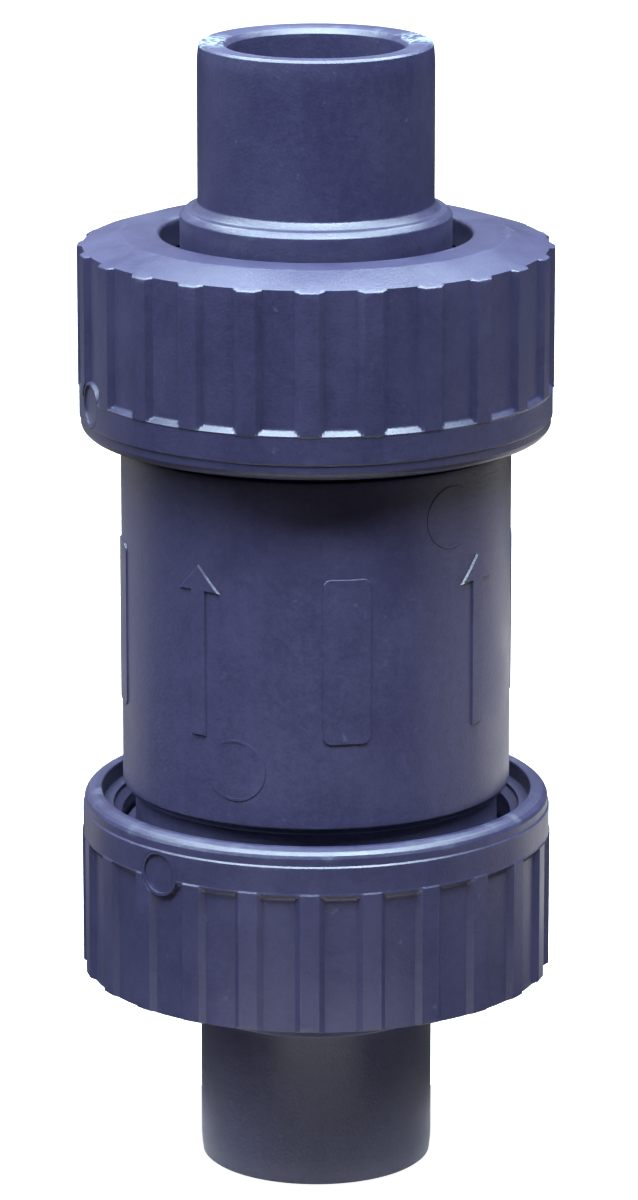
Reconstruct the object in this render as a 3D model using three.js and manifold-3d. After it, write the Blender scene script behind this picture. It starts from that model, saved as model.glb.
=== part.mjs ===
// Union-ended check valve with a spring-assisted cone, for 32 mm solvent-weld pipe.
// Millimetres. +Z is the flow direction. The origin is the centre of the inlet end face.
// Profiles are lists of [radius, height], read counter-clockwise, and heights are along Z.
import * as THREE from "three";
import { mergeVertices } from "three/addons/utils/BufferGeometryUtils.js";
import Module from "manifold-3d";

const wasm = await Module();
wasm.setup();

// Whole valve. The two ends are one design, turned over about the middle.
const LENGTH = 156.4;
const FIT_GAP = 0.3;
const TURN = 2 * Math.PI;
const DEGREE = Math.PI / 180;

// Facets round a full turn: large outer pieces, and the smaller inner ones.
const OUTER_FACETS = 36;
const INNER_FACETS = 24;
const SEAL_FACETS = 30;
const SEAL_SECTION_SIDES = 6;

// Pipe ends
const PIPE_R = 16;
const PIPE_BORE_R = 12;
const SPIGOT_START = 133.9;
const COLLAR_R = 18.4;
const FLANGE_R = 24.6;
const FLANGE_THICKNESS = 3.9;

// Body
const BODY_R = 26.6;
const BODY_END = 122.2;
const SHOULDER = 102.1;
const SHOULDER_LAND = { r: 26, height: 0.8 };
const CHAMBER_R = 18.8;
const POCKET_R = 20;
const POCKET_DEPTH = 11.8;
const FACE_GROOVE = { innerR: 21, outerR: 23.6, depth: 2.1 };
const FACE_SEAL = { ringR: 22.3, sectionR: 1 };

// Union thread, right-handed, with 30 degree flanks
const PITCH = 4;
const THREAD_START = 107.3;
const THREAD_FLANK = Math.tan(30 * DEGREE);
const THREAD_BED = 0.6;
const THREAD_STEPS = 24;
const THREAD_FADE = 0.15;
const BODY_THREAD = { rootR: 24.9, crestR: 26.3, crestWidth: 1.2, firstTurn: 0, turns: 3 };
const NUT_THREAD = { rootR: 26.75, crestR: 25.3, crestWidth: 1, firstTurn: 0.25, turns: 2.5 };

// Union nut
const NUT_MOUTH = 103.4;
const MOUTH_EDGE = 104.2;
const NUT_TOP = 130.6;
const NUT_OPENING_R = 21.1;
const MOUTH_R = 29.5;
const THREAD_ENTRY_R = 27.9;
const LIP_R = 31.95;
const LIP_TOP = 105.7;
const BAND_R = 32.15;
const BAND_TOP = 109.6;
const RECESS_R = 31.55;
const RECESS_START = 110.3;
const RIB = { r: 32.3, count: 24, topWidth: 2.54, flank: 0.75, offset: -1.5, topStep: 0.1 };
const NUT_CHAMFER = { outerZ: 128.7, innerR: 26.2 };

// Flow arrow on the body, pointing downstream
const ARROW = { count: 4, first: -36, foot: 66, neck: 86, tip: 90, shaft: 1.35, head: 3.5, relief: 0.35 };

// Seat ring and its seal, at the inlet end
const SEAT = { r: 19.7, top: 45.7, boreR: 12.5, edgeR: 12.9, edgeZ: 43.2 };
const SEAT_GROOVE = { r: 17.9, low: 38.5, high: 41.1 };
const SEAT_SEAL = { ringR: 18.95, sectionR: 0.85 };

// Cone, closed
const CONE_FACE = 46.1;
const CONE_R = 15.3;
const CONE_TOP = 51;
const SHANK_R = 6;
const SHANK_TOP = 69.6;
const STEM_R = 3.5;
const STEM_TOP = 90;
const SCREW_HOLE = { r: 2.7, top: 56 };
const CONE_BOSS = { r: 5, low: 43.5 };
const CONE_SEAL = { holeR: 5.3, low: 43.3, high: 45.8, lowR: 12.5, highR: 14.8 };
const RETAINER = { holeR: 3.3, low: 40.4, high: 43, r: 11.8 };
const SCREW = { acrossCornersR: 5.77, headLow: 36.6, headHigh: 40.1, shankR: 2.4, tip: 54 };

// Spring and its washer
const WASHER = { innerR: 6.3, outerR: 9.8, low: 51.3, high: 52.1 };
const SPRING = { coilR: 8.6, wireR: 0.65, turns: 7.5, closedPitch: 1.7, stepsPerTurn: 12, sides: 6 };

// Guide cage and bush, at the outlet end
const CAGE = { r: 19.7, innerR: 17, hubLow: 80.7, hubR: 7.2, collarR: 9.6, hubBoreR: 5.5, ventR: 1.2 };
const VANE = { count: 4, thickness: 2.4, tipR: 18.3 };
const BUSH = { boreR: 3.85, r: 5.2, top: 95.5, flangeR: 7.4, flangeLow: 78.9, flangeHigh: 80.4 };

const MATERIALS = {
  pvc: { color: 0x45455c, roughness: 0.45, metalness: 0 },
  bush: { color: 0xe6e4dc, roughness: 0.4, metalness: 0 },
  elastomer: { color: 0x17171a, roughness: 0.75, metalness: 0 },
  steel: { color: 0xb9bcc0, roughness: 0.28, metalness: 1 },
};

/** A manifold solid from a closed three.js geometry. */
function toSolid(geometry) {
  const bare = geometry.clone();
  bare.deleteAttribute("normal");
  bare.deleteAttribute("uv");
  const merged = mergeVertices(bare);
  const corners = merged.index.array;
  const triangles = [];
  for (let i = 0; i < corners.length; i += 3) {
    const [a, b, c] = corners.slice(i, i + 3);
    if (a !== b && b !== c && c !== a) {
      triangles.push(a, b, c);
    }
  }
  return new wasm.Manifold(
    new wasm.Mesh({
      numProp: 3,
      vertProperties: new Float32Array(merged.attributes.position.array),
      triVerts: new Uint32Array(triangles),
    })
  );
}

/** A named mesh of one solid. */
function piece(name, solid, material) {
  const mesh = solid.getMesh();
  const geometry = new THREE.BufferGeometry();
  geometry.setAttribute("position", new THREE.BufferAttribute(mesh.vertProperties, 3));
  geometry.setIndex(new THREE.BufferAttribute(mesh.triVerts, 1));
  geometry.computeVertexNormals();
  const result = new THREE.Mesh(geometry, new THREE.MeshStandardMaterial(MATERIALS[material]));
  result.name = name;
  return result;
}

/** The solid that a profile sweeps about +Z. A profile off the axis closes on itself. */
function revolve(profile, facets) {
  const points = profile.map(([radius, height]) => new THREE.Vector2(radius, height));
  if (profile[0][0] > 0) {
    points.push(points[0].clone());
  }
  return toSolid(new THREE.LatheGeometry(points, facets).rotateX(Math.PI / 2));
}

/** A round ring of round section about +Z. */
function ring({ ringR, sectionR }, height) {
  const torus = new THREE.TorusGeometry(ringR, sectionR, SEAL_SECTION_SIDES, SEAL_FACETS);
  return toSolid(torus.translate(0, 0, height));
}

/** Turns a geometry over about the valve's middle, from the outlet end to the inlet end. */
function turnOver(geometry) {
  return geometry.rotateX(Math.PI).translate(0, 0, LENGTH);
}

/** One thread ridge: a straight trapezium bar wrapped about +Z, fading into the wall at each end. */
function threadRidge({ rootR, crestR, crestWidth, firstTurn, turns }, startZ) {
  const outward = Math.sign(crestR - rootR);
  const bedR = rootR - outward * THREAD_BED;
  const bedWidth = crestWidth + 2 * THREAD_FLANK * Math.abs(crestR - bedR);
  const section = new THREE.Shape([
    new THREE.Vector2(bedR, -bedWidth / 2),
    new THREE.Vector2(crestR, -crestWidth / 2),
    new THREE.Vector2(crestR, crestWidth / 2),
    new THREE.Vector2(bedR, bedWidth / 2),
  ]);
  const steps = turns * THREAD_STEPS;
  const bar = new THREE.ExtrudeGeometry(section, { depth: turns, steps, bevelEnabled: false });
  const points = bar.attributes.position;
  for (let i = 0; i < points.count; i += 1) {
    const along = turns - points.getZ(i);
    const fade = Math.min(1, THREAD_FADE + 4 * along, THREAD_FADE + 4 * (turns - along));
    const radius = bedR + (points.getX(i) - bedR) * fade;
    const turn = firstTurn + along;
    points.setXYZ(
      i,
      radius * Math.cos(TURN * turn),
      radius * Math.sin(TURN * turn),
      startZ + points.getY(i) + PITCH * turn
    );
  }
  return bar;
}

/** The half of the body's profile beyond the middle, from the outside round to the chamber. */
function bodyHalfProfile() {
  const { innerR, outerR, depth } = FACE_GROOVE;
  const end = BODY_END;
  return [
    [BODY_R, SHOULDER - 0.3],
    [BODY_R - 0.3, SHOULDER],
    [SHOULDER_LAND.r, SHOULDER],
    [SHOULDER_LAND.r, SHOULDER + SHOULDER_LAND.height],
    [BODY_THREAD.rootR, SHOULDER + SHOULDER_LAND.height],
    [BODY_THREAD.rootR, end - 0.7],
    [BODY_THREAD.rootR - 0.7, end],
    [outerR, end],
    [outerR, end - depth],
    [innerR, end - depth],
    [innerR, end],
    [POCKET_R + 0.3, end],
    [POCKET_R, end - 0.3],
    [POCKET_R, end - POCKET_DEPTH],
    [CHAMBER_R, end - POCKET_DEPTH],
  ];
}

function flowArrow(azimuth) {
  const outline = new THREE.Shape([
    new THREE.Vector2(-ARROW.shaft, ARROW.foot),
    new THREE.Vector2(ARROW.shaft, ARROW.foot),
    new THREE.Vector2(ARROW.shaft, ARROW.neck),
    new THREE.Vector2(ARROW.head, ARROW.neck),
    new THREE.Vector2(0, ARROW.tip),
    new THREE.Vector2(-ARROW.head, ARROW.neck),
    new THREE.Vector2(-ARROW.shaft, ARROW.neck),
  ]);
  const slab = new THREE.ExtrudeGeometry(outline, { depth: 2, bevelEnabled: false });
  slab.translate(0, 0, BODY_R - 1);
  return toSolid(slab.rotateX(Math.PI / 2).rotateZ(azimuth * DEGREE));
}

function valveBody() {
  const outletHalf = bodyHalfProfile();
  const inletHalf = outletHalf.map(([radius, height]) => [radius, LENGTH - height]).reverse();
  let solid = revolve([...inletHalf, ...outletHalf], OUTER_FACETS);
  solid = solid.add(toSolid(threadRidge(BODY_THREAD, THREAD_START)));
  solid = solid.add(toSolid(turnOver(threadRidge(BODY_THREAD, THREAD_START))));
  const reliefR = BODY_R + ARROW.relief;
  const relief = revolve(
    [
      [BODY_R - 1, ARROW.foot],
      [reliefR, ARROW.foot],
      [reliefR, ARROW.tip],
      [BODY_R - 1, ARROW.tip],
    ],
    2 * OUTER_FACETS
  );
  for (let i = 0; i < ARROW.count; i += 1) {
    const azimuth = ARROW.first + (i * 360) / ARROW.count;
    solid = solid.add(flowArrow(azimuth).intersect(relief));
  }
  return piece("valve_body", solid, "pvc");
}

/** One grip rib, standing on the nut's recessed wall. */
function gripRib(azimuth) {
  const top = RIB.topWidth / 2;
  const foot = top + RIB.flank;
  const outline = new THREE.Shape([
    new THREE.Vector2(-foot, RECESS_R - 1),
    new THREE.Vector2(foot, RECESS_R - 1),
    new THREE.Vector2(foot, RECESS_R),
    new THREE.Vector2(top, RIB.r),
    new THREE.Vector2(-top, RIB.r),
    new THREE.Vector2(-foot, RECESS_R),
  ]);
  const bar = new THREE.ExtrudeGeometry(outline, { depth: NUT_TOP - BAND_TOP, bevelEnabled: false });
  bar.translate(0, 0, BAND_TOP);
  return toSolid(bar.rotateZ(Math.PI + azimuth * DEGREE));
}

/** Height of the nut's top chamfer at a radius. */
function chamferZ(radius) {
  const slope = (NUT_TOP - NUT_CHAMFER.outerZ) / (RIB.r - NUT_CHAMFER.innerR);
  return NUT_TOP - (radius - NUT_CHAMFER.innerR) * slope;
}

function unionNut() {
  const seatZ = BODY_END + FIT_GAP + FLANGE_THICKNESS + FIT_GAP;
  const boreR = NUT_THREAD.rootR;
  const core = revolve(
    [
      [MOUTH_R + 0.3, NUT_MOUTH],
      [MOUTH_R + 1.1, NUT_MOUTH],
      [LIP_R - 0.4, NUT_MOUTH + 0.35],
      [LIP_R, MOUTH_EDGE],
      [LIP_R, LIP_TOP - 0.1],
      [BAND_R, LIP_TOP + 0.1],
      [BAND_R, BAND_TOP],
      [RECESS_R, RECESS_START],
      [RECESS_R, chamferZ(RECESS_R)],
      [NUT_CHAMFER.innerR, NUT_TOP],
      [NUT_OPENING_R + 0.4, NUT_TOP],
      [NUT_OPENING_R, NUT_TOP - 0.4],
      [NUT_OPENING_R, seatZ],
      [boreR, seatZ],
      [boreR, LIP_TOP + 1.25],
      [THREAD_ENTRY_R, LIP_TOP + 0.55],
      [THREAD_ENTRY_R, LIP_TOP],
      [MOUTH_R, LIP_TOP],
      [MOUTH_R, NUT_MOUTH + 0.3],
    ],
    OUTER_FACETS
  );
  const envelope = revolve(
    [
      [RECESS_R - 2, BAND_TOP - 1],
      [RIB.r + 1, BAND_TOP - 1],
      [RIB.r + 1, chamferZ(RIB.r + 1) - RIB.topStep],
      [RECESS_R - 2, chamferZ(RECESS_R - 2) - RIB.topStep],
    ],
    OUTER_FACETS
  );
  let solid = core.add(toSolid(threadRidge(NUT_THREAD, THREAD_START + PITCH / 2)));
  for (let i = 0; i < RIB.count; i += 1) {
    const azimuth = RIB.offset + (i * 360) / RIB.count;
    solid = solid.add(gripRib(azimuth).intersect(envelope));
  }
  return solid;
}

function tailpiece() {
  const face = BODY_END + FIT_GAP;
  const back = face + FLANGE_THICKNESS;
  return revolve(
    [
      [PIPE_BORE_R + 1.5, face],
      [FLANGE_R - 0.4, face],
      [FLANGE_R, face + 0.4],
      [FLANGE_R, back],
      [COLLAR_R, back],
      [COLLAR_R, SPIGOT_START - 0.65],
      [COLLAR_R - 0.6, SPIGOT_START],
      [PIPE_R + 0.75, SPIGOT_START],
      [PIPE_R, SPIGOT_START + 0.75],
      [PIPE_R, LENGTH - 0.35],
      [PIPE_R - 0.4, LENGTH],
      [PIPE_BORE_R + 1.4, LENGTH],
      [PIPE_BORE_R + 0.55, LENGTH - 0.2],
      [PIPE_BORE_R, LENGTH - 0.9],
      [PIPE_BORE_R, face + 2.5],
    ],
    OUTER_FACETS
  );
}

/** The three pieces at one end. Its seal lies in the groove in the body's end face. */
function unionEnd(end, nutTurn) {
  const group = new THREE.Group();
  const nut = piece(`${end}_union_nut`, unionNut(), "pvc");
  nut.rotation.z = nutTurn * DEGREE;
  const sealZ = BODY_END + FIT_GAP / 2 - FACE_GROOVE.depth / 2;
  group.add(nut);
  group.add(piece(`${end}_tailpiece`, tailpiece(), "pvc"));
  group.add(piece(`${end}_face_seal`, ring(FACE_SEAL, sealZ), "elastomer"));
  return group;
}

function seatRing() {
  const bottom = LENGTH - BODY_END;
  const seatR = SEAT.edgeR + SEAT.top - SEAT.edgeZ;
  const solid = revolve(
    [
      [SEAT.boreR + 0.4, bottom],
      [SEAT.r - 0.3, bottom],
      [SEAT.r, bottom + 0.3],
      [SEAT.r, SEAT_GROOVE.low],
      [SEAT_GROOVE.r, SEAT_GROOVE.low],
      [SEAT_GROOVE.r, SEAT_GROOVE.high],
      [SEAT.r, SEAT_GROOVE.high],
      [SEAT.r, SEAT.top],
      [seatR, SEAT.top],
      [SEAT.edgeR, SEAT.edgeZ],
      [SEAT.boreR, SEAT.edgeZ - 0.6],
      [SEAT.boreR, bottom + 0.4],
    ],
    OUTER_FACETS
  );
  return piece("seat_ring", solid, "pvc");
}

function seatRingSeal() {
  const height = (SEAT_GROOVE.low + SEAT_GROOVE.high) / 2;
  return piece("seat_ring_seal", ring(SEAT_SEAL, height), "elastomer");
}

/** Head, stop shank and guide stem in one moulding, with a blind screw hole below. */
function cone() {
  const solid = revolve(
    [
      [0, SCREW_HOLE.top],
      [SCREW_HOLE.r, SCREW_HOLE.top],
      [SCREW_HOLE.r, CONE_BOSS.low],
      [CONE_BOSS.r, CONE_BOSS.low],
      [CONE_BOSS.r, CONE_FACE],
      [CONE_R - 0.3, CONE_FACE],
      [CONE_R, CONE_FACE + 0.3],
      [CONE_R, CONE_FACE + 1.4],
      [12, CONE_TOP - 0.7],
      [10.6, CONE_TOP],
      [SHANK_R, CONE_TOP],
      [SHANK_R, SHANK_TOP],
      [STEM_R, SHANK_TOP],
      [STEM_R, STEM_TOP - 0.6],
      [STEM_R - 0.6, STEM_TOP],
      [0, STEM_TOP],
    ],
    INNER_FACETS
  );
  return piece("cone", solid, "pvc");
}

function coneSeal() {
  const { holeR, low, high, lowR, highR } = CONE_SEAL;
  const solid = revolve(
    [
      [holeR, low],
      [lowR, low],
      [highR, high - 0.2],
      [highR, high],
      [holeR, high],
    ],
    OUTER_FACETS
  );
  return piece("cone_seal", solid, "elastomer");
}

function sealRetainer() {
  const { holeR, low, high, r } = RETAINER;
  const solid = revolve(
    [
      [holeR, low],
      [8, low],
      [r - 0.6, high - 1],
      [r, high - 0.4],
      [r, high],
      [holeR, high],
    ],
    INNER_FACETS
  );
  return piece("seal_retainer", solid, "pvc");
}

function retainerScrew() {
  const { acrossCornersR, headLow, headHigh, shankR, tip } = SCREW;
  const height = headHigh - headLow;
  const hexagon = new THREE.CylinderGeometry(acrossCornersR, acrossCornersR, height, 6);
  hexagon.rotateX(Math.PI / 2).translate(0, 0, (headLow + headHigh) / 2);
  const shank = revolve(
    [
      [0, headLow + 1],
      [shankR, headLow + 1],
      [shankR, tip - 0.5],
      [shankR - 0.5, tip],
      [0, tip],
    ],
    INNER_FACETS / 2
  );
  return piece("retainer_screw", toSolid(hexagon).add(shank), "steel");
}

function springWasher() {
  const { innerR, outerR, low, high } = WASHER;
  const solid = revolve(
    [
      [innerR, low],
      [outerR, low],
      [outerR, high],
      [innerR, high],
    ],
    INNER_FACETS
  );
  return piece("spring_washer", solid, "steel");
}

/** The wire's centreline: a closed turn at each end, and open turns between them. */
class SpringLine extends THREE.Curve {
  constructor(low, high) {
    super();
    this.low = low;
    this.high = high;
  }

  heightAt(turn) {
    const openTurns = SPRING.turns - 2;
    const openPitch = (this.high - this.low - 2 * SPRING.closedPitch) / openTurns;
    const fromLow = Math.min(turn, 1) * SPRING.closedPitch;
    const open = Math.min(Math.max(turn - 1, 0), openTurns) * openPitch;
    const fromHigh = Math.max(turn - 1 - openTurns, 0) * SPRING.closedPitch;
    return this.low + fromLow + open + fromHigh;
  }

  getPoint(t, target = new THREE.Vector3()) {
    const turn = t * SPRING.turns;
    return target.set(
      SPRING.coilR * Math.cos(TURN * turn),
      SPRING.coilR * Math.sin(TURN * turn),
      this.heightAt(turn)
    );
  }
}

function spring() {
  const { wireR, turns, stepsPerTurn, sides } = SPRING;
  const rim = Array.from({ length: sides }, (_, i) => {
    const angle = (TURN * i) / sides;
    return new THREE.Vector2(wireR * Math.cos(angle), wireR * Math.sin(angle));
  });
  const low = WASHER.high + FIT_GAP + wireR;
  const high = CAGE.hubLow - FIT_GAP - wireR;
  const wire = new THREE.ExtrudeGeometry(new THREE.Shape(rim), {
    steps: Math.round(turns * stepsPerTurn),
    extrudePath: new SpringLine(low, high),
  });
  return piece("spring", toSolid(wire), "steel");
}

/** One flat vane from the hub out to the clamping ring, in the plane of +X and +Z, then turned. */
function cageVane(azimuth) {
  const ledge = BODY_END - POCKET_DEPTH;
  const outline = new THREE.Shape([
    new THREE.Vector2(6, CAGE.hubLow + 3.8),
    new THREE.Vector2(12, CAGE.hubLow + 3.8),
    new THREE.Vector2(VANE.tipR, CAGE.hubLow + 9),
    new THREE.Vector2(VANE.tipR, ledge + 3),
    new THREE.Vector2(CAGE.innerR + 0.5, ledge + 8),
    new THREE.Vector2(6, CAGE.hubLow + 20),
  ]);
  const plate = new THREE.ExtrudeGeometry(outline, { depth: VANE.thickness, bevelEnabled: false });
  plate.translate(0, 0, -VANE.thickness / 2).rotateX(Math.PI / 2);
  return toSolid(plate.rotateZ(azimuth * DEGREE));
}

function guideCage() {
  const ledge = BODY_END - POCKET_DEPTH + FIT_GAP;
  const { hubLow, hubR, collarR, hubBoreR, ventR } = CAGE;
  const hub = revolve(
    [
      [hubBoreR, hubLow],
      [collarR, hubLow],
      [collarR, hubLow + 2.3],
      [hubR, hubLow + 4.3],
      [hubR, hubLow + 19.3],
      [hubR - 0.9, hubLow + 22.3],
      [hubR - 3, hubLow + 23.9],
      [ventR, hubLow + 24.5],
      [ventR, hubLow + 21.9],
      [hubR - 3, hubLow + 20.9],
      [hubBoreR, hubLow + 19.3],
    ],
    INNER_FACETS
  );
  const clampRing = revolve(
    [
      [CAGE.innerR, ledge],
      [CAGE.r, ledge],
      [CAGE.r, BODY_END],
      [CAGE.innerR, BODY_END],
    ],
    OUTER_FACETS
  );
  let solid = hub.add(clampRing);
  for (let i = 0; i < VANE.count; i += 1) {
    solid = solid.add(cageVane(45 + (i * 360) / VANE.count));
  }
  return piece("guide_cage", solid, "pvc");
}

function guideBush() {
  const { boreR, r, top, flangeR, flangeLow, flangeHigh } = BUSH;
  const solid = revolve(
    [
      [boreR, flangeLow],
      [flangeR, flangeLow],
      [flangeR, flangeHigh],
      [r, flangeHigh],
      [r, top],
      [boreR, top],
    ],
    INNER_FACETS
  );
  return piece("guide_bush", solid, "bush");
}

const outletEnd = unionEnd("outlet", 0);
const inletEnd = unionEnd("inlet", -2 * RIB.offset);
inletEnd.rotation.x = Math.PI;
inletEnd.position.z = LENGTH;

const closingParts = new THREE.Group();
closingParts.add(seatRing(), seatRingSeal());
closingParts.add(cone(), coneSeal(), sealRetainer(), retainerScrew());
closingParts.add(springWasher(), spring(), guideCage(), guideBush());

const group = new THREE.Group();
group.add(valveBody(), outletEnd, inletEnd, closingParts);

export default group;
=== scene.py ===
"""Looks of the union-ended check valve. Sizes in this script are millimetres until a mesh is made.

Each piece is built for the outlet end and, where both ends have one, turned over about the
valve's middle for the inlet end, as the real mouldings are.
"""
import math

import bpy
import numpy as np
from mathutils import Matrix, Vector


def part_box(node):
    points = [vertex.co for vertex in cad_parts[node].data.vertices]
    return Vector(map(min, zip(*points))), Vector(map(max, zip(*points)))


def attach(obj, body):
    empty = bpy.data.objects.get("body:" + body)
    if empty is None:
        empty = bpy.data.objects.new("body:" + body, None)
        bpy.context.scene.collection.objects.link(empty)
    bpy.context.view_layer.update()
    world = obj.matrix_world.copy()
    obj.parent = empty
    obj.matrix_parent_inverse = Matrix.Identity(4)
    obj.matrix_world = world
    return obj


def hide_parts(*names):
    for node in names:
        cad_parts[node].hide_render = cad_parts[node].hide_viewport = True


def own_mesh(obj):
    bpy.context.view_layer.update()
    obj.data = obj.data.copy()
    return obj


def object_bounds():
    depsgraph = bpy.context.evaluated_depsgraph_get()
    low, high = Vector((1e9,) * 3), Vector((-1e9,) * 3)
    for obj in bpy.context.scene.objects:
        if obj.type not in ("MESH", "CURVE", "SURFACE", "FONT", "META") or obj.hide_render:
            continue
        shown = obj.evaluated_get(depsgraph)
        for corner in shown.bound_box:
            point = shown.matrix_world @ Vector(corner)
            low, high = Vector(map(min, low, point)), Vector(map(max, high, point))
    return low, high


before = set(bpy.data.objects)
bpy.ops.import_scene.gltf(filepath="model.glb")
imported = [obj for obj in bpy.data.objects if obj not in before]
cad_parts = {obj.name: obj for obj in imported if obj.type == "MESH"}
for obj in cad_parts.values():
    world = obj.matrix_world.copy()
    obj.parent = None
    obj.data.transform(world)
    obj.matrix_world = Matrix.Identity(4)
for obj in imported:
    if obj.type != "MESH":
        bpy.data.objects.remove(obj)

MM = 0.001
cad_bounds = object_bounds()


def box_mm(node):
    """A CAD node's lowest and highest corners, in millimetres."""
    low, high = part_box(node)
    return low / MM, high / MM


# ---------------------------------------------------------------- driving sizes
LENGTH = cad_bounds[1][2] / MM
BODY_HIGH = box_mm("valve_body")[1]
NUT_LOW, NUT_HIGH = box_mm("outlet_union_nut")
TAIL_LOW, TAIL_HIGH = box_mm("outlet_tailpiece")
SEAT_LOW, SEAT_HIGH = box_mm("seat_ring")
CONE_LOW, CONE_HIGH = box_mm("cone")
CONE_SEAL_LOW, CONE_SEAL_HIGH = box_mm("cone_seal")
RETAINER_LOW, RETAINER_HIGH = box_mm("seal_retainer")
SCREW_LOW, SCREW_HIGH = box_mm("retainer_screw")
WASHER_LOW, WASHER_HIGH = box_mm("spring_washer")
SPRING_LOW, SPRING_HIGH = box_mm("spring")
CAGE_LOW, CAGE_HIGH = box_mm("guide_cage")
BUSH_LOW, BUSH_HIGH = box_mm("guide_bush")

BODY_R = BODY_HIGH.x
BODY_END = BODY_HIGH.z
SHOULDER = BODY_END - 20.1
LAND_R = 26.0
LAND_TOP = SHOULDER + 0.8
PIPE_R = 16.0
PIPE_BORE_R = 12.0
CHAMBER_R = 18.8
POCKET_R = 20.0
POCKET_DEPTH = 11.8

THREAD_PITCH = 4.0
THREAD_START = BODY_END - 14.9
BODY_THREAD = {"root": 24.9, "crest": 26.3, "crest_width": 1.2, "first": 0.0, "turns": 3.0}
NUT_THREAD = {"root": 26.75, "crest": 25.3, "crest_width": 1.0, "first": 0.25, "turns": 2.5}
THREAD_FLANK = math.tan(math.radians(30))
THREAD_ROW = 0.4

RIB_R = 32.3
RIB_COUNT = 24
RIB_OFFSET = -1.5
RIB_TOP = 1.27
RIB_FLANK = 0.75
RECESS_R = 31.55
RECESS_START = NUT_LOW.z + 6.9
BAND_R = 32.15
BAND_TOP = NUT_LOW.z + 6.2
LIP_R = 31.95
LIP_TOP = NUT_LOW.z + 2.3
CHAMFER_R = 26.2
CHAMFER_DROP = 1.9
NUT_BORE_R = 21.1
NUT_ENTRY_R = 27.9
NUT_MOUTH_R = 29.5
GATE_R = 3.2
GATE_INNER_R = 2.75

# A raised mark's root is sunk this far into its wall, and a cutter for a well is this tall.
BOSS_ROOT = 0.6
WELL_RELIEF = 2.0


# ---------------------------------------------------------------- mesh code
def soften(corners, closed=True, arc=4, worn=0.7):
    """Rounds a profile's corners, given as (radius, height, rounding), into rows (radius, height, edge).

    edge is 1 on an outward corner, -1 on an inward one, and 0 from the distance `worn` away from it.
    """
    points = [Vector((c[0], c[1])) for c in corners]
    count = len(points)
    rows = []
    for i, (point, corner) in enumerate(zip(points, corners)):
        rounding = corner[2]
        at_end = not closed and i in (0, count - 1)
        if at_end or rounding == 0:
            rows.append((point.x, point.y, 0.0))
            continue
        back = points[i - 1] - point
        ahead = points[(i + 1) % count] - point
        half = back.angle(ahead) / 2
        cut = min(rounding / math.tan(half), 0.45 * back.length, 0.45 * ahead.length)
        edge = 1.0 if back.x * ahead.y - back.y * ahead.x < 0 else -1.0
        start = point + back.normalized() * cut
        end = point + ahead.normalized() * cut
        if back.length > 2 * (cut + worn):
            far = point + back.normalized() * (cut + worn)
            rows.append((far.x, far.y, 0.0))
        for k in range(arc + 1):
            t = k / arc
            on = start * (1 - t) ** 2 + point * 2 * t * (1 - t) + end * t ** 2
            rows.append((on.x, on.y, edge))
        if ahead.length > 2 * (cut + worn):
            far = point + ahead.normalized() * (cut + worn)
            rows.append((far.x, far.y, 0.0))
    return rows


def mesh_object(name, points, faces, edge=None, cut=None):
    """An object from points in millimetres, with its edge and cut masks as attributes."""
    mesh = bpy.data.meshes.new(name)
    mesh.from_pydata((np.asarray(points, float) * MM).tolist(), [], faces)
    for label, values in (("edge", edge), ("cut", cut)):
        layer = mesh.attributes.new(label, "FLOAT", "POINT")
        if values is not None:
            layer.data.foreach_set("value", np.asarray(values, np.float32))
    mesh.validate()
    obj = bpy.data.objects.new(name, mesh)
    bpy.context.scene.collection.objects.link(obj)
    return obj


def even_columns(count):
    return np.arange(count) * 2 * math.pi / count


def revolve(name, rows, columns=None, shape=None, cut=None):
    """Sweeps rows about +Z. Rows that start at radius 0 end there too, and others form a closed loop.

    shape(radius, height, angle, edge) returns new radii and edges; cut(radius, height, angle) is a mask.
    """
    columns = even_columns(128) if columns is None else columns
    rows = np.asarray(rows, float)
    on_axis = rows[0, 0] < 1e-6
    ring_rows = rows[1:-1] if on_axis else rows
    count, wide = len(ring_rows), len(columns)
    angle = np.broadcast_to(columns, (count, wide))
    radius = np.repeat(ring_rows[:, :1], wide, axis=1)
    height = np.repeat(ring_rows[:, 1:2], wide, axis=1)
    edge = np.repeat(ring_rows[:, 2:3], wide, axis=1)
    masked = cut(radius, height, angle) if cut else np.zeros_like(radius)
    if shape:
        radius, edge = shape(radius, height, angle, edge)
    points = np.stack([radius * np.cos(angle), radius * np.sin(angle), height], axis=-1)
    points = points.reshape(-1, 3).tolist()
    edges = edge.ravel().tolist()
    cuts = masked.ravel().tolist()
    faces = []
    for i in range(count if not on_axis else count - 1):
        here, above = i * wide, ((i + 1) % count) * wide
        for j in range(wide):
            k = (j + 1) % wide
            faces.append((here + j, here + k, above + k, above + j))
    if on_axis:
        first, last = len(points), len(points) + 1
        points += [[0, 0, rows[0, 1]], [0, 0, rows[-1, 1]]]
        edges += [0.0, 0.0]
        cuts += [0.0, 0.0]
        top = (count - 1) * wide
        for j in range(wide):
            k = (j + 1) % wide
            faces.append((first, k, j))
            faces.append((last, top + j, top + k))
    return mesh_object(name, points, faces, edges, cuts)


def offset_outline(outline, distance):
    """A counter-clockwise outline moved outward by a distance, with mitred corners."""
    points = [Vector(p) for p in outline]
    moved = []
    for i, point in enumerate(points):
        before = (point - points[i - 1]).normalized()
        after = (points[(i + 1) % len(points)] - point).normalized()
        normal = Vector((before.y + after.y, -before.x - after.x)).normalized()
        slant = max(0.35, normal.dot(Vector((before.y, -before.x))))
        moved.append(point + normal * distance / slant)
    return moved


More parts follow.
